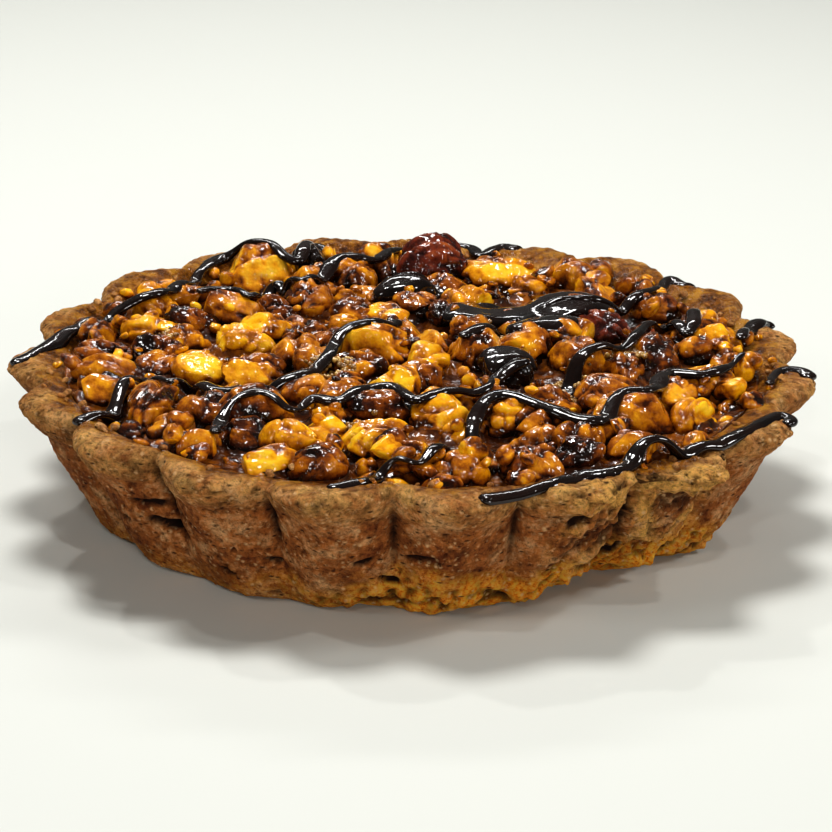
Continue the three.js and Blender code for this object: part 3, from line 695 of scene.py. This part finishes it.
# Caramel-glazed pecan: a clear, hard, glossy coat of baked syrup over skin and flesh. Its tone
# is darker in wrinkles and low on a piece, partly where the syrup lies thick and partly as
# painted shade, and deep between pieces as painted shade. The syrup ripples, so that it glitters.
glazed, tree = finish_named("caramel_glazed_pecan")
own = add(tree, "TexCoord", out="Object")
cloud = add(tree, "TexNoise", own, Scale=per_mm(1.2), Detail=5, Roughness=0.65)
tone = add(tree, "Attribute", attribute_name="tone", out="Fac")
tone = add(tree, "Math", cloud, 0.8, tone, operation="MULTIPLY_ADD")
tone = add(tree, "Math", tone, 0.4, operation="SUBTRACT")
golden = [
    (0.0, "#180701"), (0.18, "#421b02"), (0.36, "#904e06"),
    (0.54, "#ca800a"), (0.72, "#eca60e"), (0.92, "#f5c028"),
]
colour = add(tree, "ValToRGB", tone, stops=golden)
russet = [(0.0, "#120402"), (0.2, "#3a1108"), (0.45, "#78301a"), (0.7, "#a8582c"), (1.0, "#d89a50")]
redness = add(tree, "Attribute", attribute_name="redness", out="Fac")
colour = add(tree, "Mix", redness, colour, add(tree, "ValToRGB", tone, stops=russet), data_type="RGBA")
dip = add(tree, "Attribute", attribute_name="dip", out="Fac")
colour = add(tree, "Mix", dip, colour, "#170b06", data_type="RGBA")
ripples = add(tree, "TexNoise", own, Scale=per_mm(1.8), Detail=2, Roughness=0.5)
bump = add(tree, "Bump", Height=ripples, Strength=0.8, Distance=0.0005)
beads = add(tree, "TexNoise", own, Scale=per_mm(1.1), Detail=0)
glitter = add(tree, "Bump", Height=beads, Normal=bump, Strength=1.0, Distance=0.00025)
shader = add(
    tree, "BsdfPrincipled",
    Base_Color=colour, Roughness=0.45, Normal=bump, Specular_IOR_Level=0.05,
    Coat_Weight=1.0, Coat_Roughness=0.04, Coat_IOR=1.42, Coat_Normal=glitter,
)
add(tree, "OutputMaterial", shader)

for name, seed, pile_kinds, (points, flesh, down) in piles:
    pile = body_mesh(name, points, glazed, **pecan_fields(points, flesh, down, pile_kinds, seed))
    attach(pile, "root")
    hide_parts("pecan_filling")


# ---- The caramel ---------------------------------------------------------------------------
# Soft caramel, poured in hot and baked until it set: glossy dark amber, climbing a little up every
# piece and up the crust. In patches it boiled over into a pale froth of fine bubbles.


def near_pecans(x, y):
    """How close a place is to a piece: 1 inside its outline, falling off over 1.2 mm outside it."""
    best = np.zeros(np.broadcast(x, y).shape)
    for px, py, long, wide, _, heading, *_ in pecans:
        ahead = (x - px) * np.cos(heading) + (y - py) * np.sin(heading)
        aside = (y - py) * np.cos(heading) - (x - px) * np.sin(heading)
        outside = (np.sqrt((ahead / long) ** 2 + (aside / wide) ** 2) - 0.95) * 0.5 * (long + wide)
        best = np.maximum(best, np.exp(-np.maximum(outside, 0) / 1.2))
    return best


def caramel_skin(x, y):
    """The caramel's top: its level, 1.3 mm of climb at the pieces and at the crust, and lumps."""
    flat = np.stack([x, y, 0 * x], -1)
    to_crust = np.maximum(INNER_RADIUS - np.hypot(x, y), 0)
    rising = 1.3 * near_pecans(x, y) ** 2 + 1.3 * np.exp(-to_crust / 2.0)
    return caramel_height(x, y) + rising + 0.28 * lattice(flat, 3.1, 31) + 0.14 * lattice(flat, 1.5, 32)


# Where the froth is: x, y and radius of each patch in mm.
FROTH = [
    (25, -12, 5.5), (13, 5, 3.4), (9, 12, 3.2), (32, -1, 3.6), (-38, 6, 3.4), (-12, -10, 3.6), (-6, -32, 3),
]
# The caramel's side leans out like the shell, by way of this radius and height.
SIDE_RADIUS, SIDE_HEIGHT = 49.0, 14.0
caramel_turn = TURN * np.arange(380) / 380
caramel_reach = np.concatenate(
    [[0], np.linspace(10, FLOOR_RADIUS - 0.1, 5), [SIDE_RADIUS], np.linspace(INNER_RADIUS + 0.05, 0, 118)]
)[:, None]
x = caramel_reach * np.sin(caramel_turn)
y = -caramel_reach * np.cos(caramel_turn)
z = caramel_skin(x, y)
z[:6] = FLOOR_HEIGHT + 0.1
z[6] = SIDE_HEIGHT
froth = np.zeros_like(x)
for fx, fy, fr in FROTH:
    off = np.hypot(x - fx, y - fy) + 1.5 * lattice(np.stack([x, y, 0 * x], -1), 3, 33)
    froth = np.maximum(froth, 1 - smooth(0.4 * fr, fr, off))

# Set caramel: clear and amber-brown in depth, mirror-glossy. Froth is paler.
caramel, tree = finish_named("set_caramel")
own = add(tree, "TexCoord", out="Object")
cloud = add(tree, "TexNoise", own, Scale=per_mm(3.5), Detail=4, Roughness=0.6)
colour = add(tree, "ValToRGB", cloud, stops=[(0.34, "#1a0802"), (0.5, "#4c2305"), (0.68, "#92520c")])
bubbles = add(tree, "TexVoronoi", own, Scale=per_mm(0.8))
pale = add(tree, "ValToRGB", bubbles, stops=[(0.1, "#4a2c0c"), (0.4, "#94661f"), (0.7, "#c79a4a")])
frothy = add(tree, "Attribute", attribute_name="froth", out="Fac")
colour = add(tree, "Mix", frothy, colour, pale, data_type="RGBA")
ripples = add(tree, "TexNoise", own, Scale=per_mm(1.9), Detail=2, Roughness=0.5)
bump = add(tree, "Bump", Height=ripples, Strength=0.8, Distance=0.0006)
shader = add(
    tree, "BsdfPrincipled",
    Base_Color=colour, Roughness=0.4, Normal=bump, Specular_IOR_Level=0.1,
    Coat_Weight=1.0, Coat_Roughness=0.04, Coat_IOR=1.35, Coat_Normal=bump,
)
add(tree, "OutputMaterial", shader)
filling = body_mesh("caramel", np.stack([x, y, z], -1)[None], caramel, froth=froth[None])
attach(filling, "root")
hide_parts("pecan_filling")

# The bubbles of the froth, 0.4 to 0.9 mm across, half sunk in the caramel or in the glaze of the
# pieces that it boiled over.
BUBBLES = 1500
random = np.random.default_rng(17)
patch_of = random.integers(len(FROTH), size=BUBBLES)
middle = np.array(FROTH)[patch_of]
reach = middle[:, 2] * np.sqrt(random.uniform(0, 1, BUBBLES))
turn = TURN * random.uniform(0, 1, BUBBLES)
x, y = middle[:, 0] + reach * np.sin(turn), middle[:, 1] + reach * np.cos(turn)
size = random.uniform(0.2, 0.45, BUBBLES)
level = np.minimum(filled_top(x, y) - 0.45, caramel_height(x, y) + 3.4)
centre = np.stack([x, y, np.maximum(level, caramel_skin(x, y) + 0.1 * size)], -1)
points = centre[:, None, None] + size[:, None, None, None] * unit_balls(7, 8)
# Caramel froth: thin skins of caramel round air, pale brown and still glossy.
bubble, tree = finish_named("caramel_froth")
own = add(tree, "TexCoord", out="Object")
cloud = add(tree, "TexNoise", own, Scale=per_mm(1.6), Detail=2)
colour = add(tree, "ValToRGB", cloud, stops=[(0.35, "#5e3c10"), (0.5, "#966a24"), (0.65, "#c49c50")])
shader = add(
    tree, "BsdfPrincipled", Base_Color=colour, Roughness=0.4, Coat_Weight=1.0, Coat_Roughness=0.06,
)
add(tree, "OutputMaterial", shader)
froth_bubbles = body_mesh("caramel_bubbles", points, bubble)
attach(froth_bubbles, "root")
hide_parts("pecan_filling")


# ---- The crumbs ----------------------------------------------------------------------------
# What broke off while the pecans were chopped: glazed crumbs of 1 to 2.6 mm all over the heap, and
# bits of 2 to 5 mm near the shell, on the caramel and on the pieces' shoulders. Dry crumbs of
# shortcrust, half as large as the glazed ones, lie scattered along the rim.


def scattered(count, seed, least, most, longest):
    """Rows for pecan_shapes: bits spread evenly over the ring from least to most, with half lengths
    from 0.4 to 1 times the longest, turned at random and laid on whatever is below, if that is less
    than 4 mm above the caramel."""
    random = np.random.default_rng(seed)
    reach = np.sqrt(random.uniform(least**2, most**2, count))
    turn = TURN * random.uniform(0, 1, count)
    x, y = reach * np.sin(turn), reach * np.cos(turn)
    long = random.uniform(0.4, 1, count) * longest
    wide, high = long * random.uniform(0.6, 0.95, count), long * random.uniform(0.5, 0.8, count)
    rise = filled_top(x, y) - caramel_height(x, y) + 0.05 * long
    heading, form = TURN * random.uniform(0, 1, count), random.integers(6, size=count)
    lean = random.uniform(-0.7, 0.7, (2, count))
    rows = np.stack([x, y, long, wide, high, heading, *lean, rise, form], -1)
    return rows[rise < 4.0]


for name, rows, fineness, seed in [
    ("pecan_crumbs", scattered(240, 5, 0, 54.5, 1.3), (7, 8), 300),
    ("pecan_bits", scattered(170, 9, 42, 52, 2.6), (14, 20), 320),
]:
    points, flesh, down = pecan_shapes(rows, *fineness, seed, relief=0.35)
    kind_of = np.random.default_rng(seed).integers(len(LOOSE_KINDS), size=len(rows))
    crumb_kinds = [LOOSE_KINDS[i] for i in kind_of]
    bits = body_mesh(name, points, glazed, **pecan_fields(points, flesh, down, crumb_kinds, seed))
    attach(bits, "root")
    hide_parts("pecan_filling")
    np.maximum.at(heap_top, plan_cells(points[..., 0], points[..., 1]), points[..., 2])

dry_rows = scattered(110, 8, 50.5, 55.2, 0.7)
points, _, _ = pecan_shapes(dry_rows, 7, 8, 350, relief=0.3)
even = np.ones(points.shape[:-1])
# The crumbs get the painted light of a raised crumb, and half the rim's tan and painted top light.
dry_bits = body_mesh("shortcrust_crumbs", points, shortcrust, raised=0.8 * even, rim_tan=0.5 * even)
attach(dry_bits, "root")
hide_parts("crust")


# ---- The chocolate strokes -----------------------------------------------------------------
# Dark chocolate, drizzled warm from a spoon in strokes that cling to the nuts and sag into the
# gaps. They set in soft, glossy cords, thicker where the chocolate gathered, and in two large and
# two small puddles where the spoon stopped.

CHOCOLATE_RADIUS = 0.92
STROKE_SIDES, STROKE_RINGS = 16, 400
STROKE_STEP = 0.25
# Each stroke seen from above, as the few points in mm that it runs through.
STROKES = [
    [(-59, -4), (-54.5, 4), (-51, 10), (-46, 19), (-40, 22), (-36.5, 31), (-34, 40), (-31, 46),
     (-24, 44), (-20.8, 40), (-18.6, 40), (-17.5, 47), (-16, 52), (-13.5, 50)],
    [(-33.5, 21), (-31, 23.5), (-28, 23.5), (-25.5, 20.5), (-24, 29), (-22, 34), (-17.5, 26),
     (-14, 33.5), (-12, 38.5), (-7, 41.5), (-2.5, 50), (2, 55.5), (9.5, 55.5), (11, 51), (15, 56),
     (17.5, 53)],
    [(-47, -30.5), (-42.5, -25), (-41, -18), (-38.5, -13.5), (-34.5, -18.5), (-32, -15), (-27.5, -21),
     (-22.5, -17), (-16.5, -14.5), (-12.5, -8), (-10.5, -1), (-5, 3), (-2, 8)],
    [(-27, -39), (-25.5, -31.5), (-21.5, -28), (-17, -30.5), (-13.8, -25.8), (-10, -27.5), (-6.5, -23),
     (-3, -21.5), (0.7, -27.5), (4.5, -24.5), (10.8, -21), (12, -15), (17, -11)],
    [(-11, -55), (-6.5, -52.2), (-3, -48.2), (0.7, -48.4), (5, -41.5), (8, -37), (9, -31), (12.5, -27.5),
     (17, -29.5), (22, -33), (25.5, -33.5), (30, -24.5), (33.5, -23.5), (37.5, -12), (42.5, -13),
     (49, -4.5)],
    [(9, -57), (13, -55), (18.5, -51.5), (23, -46.8), (27.5, -45.8), (31.5, -40.5), (36, -37.8),
     (42, -33.8), (46, -30), (50.2, -24.6), (52.4, -22.3), (53.7, -23.8), (53, -26)],
    [(7, -3), (10.9, 1), (15.6, 9.5), (20.6, 18), (27.7, 19.5), (35, 25), (38.5, 30), (41.5, 38),
     (43.5, 35), (46.5, 38.5), (48.5, 37)],
    [(23.3, -14), (23.7, -9), (28.5, -4.5), (32.2, -1), (35.5, 7), (39, 13), (41.3, 5.5), (42.6, 9),
     (43.3, 18)],
    [(52, -11.5), (52.8, -8), (55, -4.5), (57.5, -4.5), (58.8, -7.5)],
    [(49.5, 6), (51, 12), (53, 17), (55, 20), (56.3, 19.5)],
]


def along_runs(path, distance):
    """The points of a path at those distances along it."""
    run = np.concatenate([[0], np.cumsum(np.linalg.norm(np.diff(path, axis=0), axis=1))])
    return np.stack([np.interp(distance * run[-1], run, k) for k in path.T], -1), run[-1]


def through(knots):
    """A smooth path through the knots, in steps of 0.25 mm: between two knots a cubic, with slopes
    from the knots beside them, weighted by the root of their distances."""
    knots = np.array(knots, float)
    knots = np.concatenate([[2 * knots[0] - knots[1]], knots, [2 * knots[-1] - knots[-2]]])
    gap = np.sqrt(np.linalg.norm(np.diff(knots, axis=0), axis=1))[:, None]
    a, b, c, d = knots[:-3], knots[1:-2], knots[2:-1], knots[3:]
    g0, g1, g2 = gap[:-2], gap[1:-1], gap[2:]
    out = ((b - a) / g0 - (c - a) / (g0 + g1) + (c - b) / g1) * g1
    into = ((c - b) / g1 - (d - b) / (g1 + g2) + (d - c) / g2) * g1
    t = np.linspace(0, 1, 40, endpoint=False)[:, None, None]
    path = (2 * t**3 - 3 * t**2 + 1) * b + (t**3 - 2 * t**2 + t) * out
    path = path + (3 * t**2 - 2 * t**3) * c + (t**3 - t**2) * into
    path = np.concatenate([path.transpose(1, 0, 2).reshape(-1, 2), knots[-2:-1]])
    _, length = along_runs(path, np.zeros(1))
    return along_runs(path, np.linspace(0, 1, round(length / STROKE_STEP)))[0]


def laid_stroke(knots, seed):
    """A stroke laid over the heap: 400 rings, evenly spread. Its middle follows the highest of what
    lies within 0.8 mm aside and 1 mm along, blurred along it, less 0.45 of its thickness. That
    varies, grows by up to 50 % where the stroke sags below its surroundings, shrinks by up to 25 %
    on top of a nut, and closes as a half ball at each end. A ring is 2.9 of it wide and 1.6 high."""
    plan = through(knots)
    aside = np.gradient(plan, axis=0)[:, ::-1] * [-1, 1]
    aside /= np.linalg.norm(aside, axis=1, keepdims=True)
    below = np.max([filled_top(*(plan + k * aside).T) for k in (-0.8, 0, 0.8)], axis=0)
    near = np.pad(below, 4, mode="edge")
    below = np.max([near[k : k + len(below)] for k in range(9)], axis=0)
    share = np.linspace(0, 1, STROKE_RINGS)
    spine, length = along_runs(np.column_stack([plan, blurred(below, 40)]), share)
    sag = sampled(soft_top, spine[:, 0], spine[:, 1]) - spine[:, 2] + 0.4
    sag = blurred(np.clip(0.45 * sag, -0.25, 0.5), 12)
    thick = 1 + sag + 0.34 * lattice(spine, 6, seed) + 0.12 * lattice(spine, 2.5, seed + 1)
    thick *= CHOCOLATE_RADIUS
    end = length * np.minimum(share, share[::-1]) / 1.4
    thick *= np.sqrt(np.maximum(1 - (1 - clamp01(end)) ** 2, 1e-4))
    spine[:, 2] -= 0.45 * thick
    ahead = np.gradient(spine, axis=0)
    ahead /= np.linalg.norm(ahead, axis=1, keepdims=True)
    side = np.cross(np.array([0, 0, 1.0]), ahead)
    side /= np.linalg.norm(side, axis=1, keepdims=True)
    up = np.cross(ahead, side)
    s = TURN * np.arange(STROKE_SIDES) / STROKE_SIDES
    ring = 1.45 * np.cos(s)[None, :, None] * side[:, None] + 0.8 * np.sin(s)[None, :, None] * up[:, None]
    rings = spine[:, None] + thick[:, None, None] * ring
    rings[[0, -1]] = spine[[0, -1], None]
    return rings


# Set dark chocolate: nearly black, smooth and glossy, with soft white highlights along its top.
chocolate, tree = finish_named("set_dark_chocolate")
own = add(tree, "TexCoord", out="Object")
cloud = add(tree, "TexNoise", own, Scale=per_mm(5), Detail=3)
colour = add(tree, "ValToRGB", cloud, stops=[(0.35, "#0d0504"), (0.65, "#1c0d08")])
ripple = add(tree, "TexNoise", own, Scale=per_mm(1.6), Detail=2, Roughness=0.4)
bump = add(tree, "Bump", Height=ripple, Strength=0.5, Distance=0.0002)
shader = add(
    tree, "BsdfPrincipled",
    Base_Color=colour, Roughness=0.4, Normal=bump, Specular_IOR_Level=0.04,
    Coat_Weight=1.0, Coat_Roughness=0.05, Coat_IOR=1.5, Coat_Normal=bump,
)
add(tree, "OutputMaterial", shader)
strokes = np.stack([laid_stroke(knots, 400 + 10 * i) for i, knots in enumerate(STROKES)])
drizzle = body_mesh("chocolate_strokes", strokes, chocolate)
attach(drizzle, "root")
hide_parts("crust", "pecan_filling")

# Puddles where the chocolate ran together: x, y, half length, half width, heading in degrees.
PUDDLES = np.array(
    [(18.5, 20, 12, 7, 12), (20, 10, 6.5, 5, 70), (-2, 27, 4.2, 3.0, 20), (13.5, -8, 3.8, 3.2, 0)]
)
PUDDLE_DEPTH = 1.8
high, ahead, aside = np.moveaxis(unit_balls(60, 72), -1, 0)
px, py, long, wide, heading = PUDDLES.T[..., None, None]
heading = np.radians(heading)
edge_at = np.stack([px + 4 * ahead, py + 4 * aside, 0 * px + 0 * ahead], -1)
ragged_edge = 1 + 0.38 * lattice(edge_at, 3.0, 470)
ahead, aside = long * ahead * ragged_edge, wide * aside * ragged_edge
x = px + ahead * np.cos(heading) - aside * np.sin(heading)
y = py + ahead * np.sin(heading) + aside * np.cos(heading)
near = np.pad(heap_top, 3, mode="edge")
peaks = np.max([near[i : i + PLAN_CELLS, j : j + PLAN_CELLS] for i, j in np.ndindex(7, 7)], axis=0)
draped = sampled(blurred(blurred(peaks, 20).T, 20).T, x, y)
z = draped + np.where(high > 0, -PUDDLE_DEPTH * (1 - high) ** 2, -PUDDLE_DEPTH + 1.5 * high)
puddles = body_mesh("chocolate_puddles", np.stack([x, y, z], -1), chocolate)
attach(puddles, "root")
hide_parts("pecan_filling")


# ---- Floor, light and camera ---------------------------------------------------------------
# A plain pale floor, a round soft light above and a long strip behind, soft fills at both sides, in
# front and low down, three small lamps that make the glaze sparkle, and the camera in front, looking
# a little down on the pie.

floor_material, tree = finish_named("pale_floor")
add(tree, "OutputMaterial", add(tree, "BsdfPrincipled", Base_Color="#cdcec7", Roughness=0.7))
floor_mesh = bpy.data.meshes.new("floor")
floor_mesh.from_pydata([(-3, -3, 0), (3, -3, 0), (3, 3, 0), (-3, 3, 0)], [], [(0, 1, 2, 3)])
floor_mesh.materials.append(floor_material)
floor = bpy.data.objects.new("floor", floor_mesh)
bpy.context.scene.collection.objects.link(floor)


def facing(place, aim):
    """The rotation that points a lamp's or camera's -Z from its place towards what it aims at."""
    return (Vector(aim) - Vector(place)).to_track_quat("-Z", "Y")


def softbox(name, place, size, watts, length=None):
    """A round area light at that place in metres, or a level strip of that length, turned towards
    the pie."""
    light = bpy.data.lights.new(name, "AREA")
    light.shape = "ELLIPSE"
    light.size = length or size
    light.size_y = size
    light.energy = watts
    lamp = bpy.data.objects.new(name, light)
    lamp.location = place
    lamp.rotation_euler = facing(place, (0, 0, 0.015)).to_euler()
    bpy.context.scene.collection.objects.link(lamp)


softbox("top_light", (-0.06, 0.16, 0.60), 0.18, 2.6)
softbox("left_light", (-0.50, -0.30, 0.40), 0.14, 0.55)
softbox("right_light", (0.55, 0.0, 0.42), 0.14, 1.2)
softbox("front_fill", (0.2, -0.83, 0.28), 0.14, 1.7)
softbox("low_fill", (0.14, -0.5, 0.05), 0.1, 0.34)
softbox("sparkle_left", (-0.22, 0.30, 0.48), 0.03, 0.5)
softbox("back_strip", (-0.04, 0.56, 0.42), 0.035, 0.75, length=0.45)
softbox("sparkle_right", (0.26, -0.12, 0.52), 0.03, 0.35)
softbox("sparkle_front", (-0.10, -0.55, 0.42), 0.03, 0.35)

world = bpy.data.worlds.new("studio")
world.use_nodes = True
sky = world.node_tree.nodes["Background"].inputs
sky["Color"].default_value = linear("#eef0e8")
sky["Strength"].default_value = 0.1
bpy.context.scene.world = world
bpy.context.scene.view_settings.view_transform = "Standard"
bpy.context.scene.view_settings.look = "Medium High Contrast"

CAMERA_DISTANCE = 0.45
CAMERA_ELEVATION = np.radians(21.21)
CAMERA_ROLL = np.radians(0.69)
CAMERA_AIM = (0.0007, 0, 0.0123)
lens = bpy.data.cameras.new("camera")
lens.lens = 128.45
lens.sensor_width = 36
lens.clip_start = 0.01
camera = bpy.data.objects.new("camera", lens)
camera.location = (
    0, -CAMERA_DISTANCE * np.cos(CAMERA_ELEVATION), CAMERA_DISTANCE * np.sin(CAMERA_ELEVATION),
)
level = facing(camera.location, CAMERA_AIM)
camera.rotation_euler = (level @ Quaternion((0, 0, 1), CAMERA_ROLL)).to_euler()
bpy.context.scene.collection.objects.link(camera)
bpy.context.scene.camera = camera
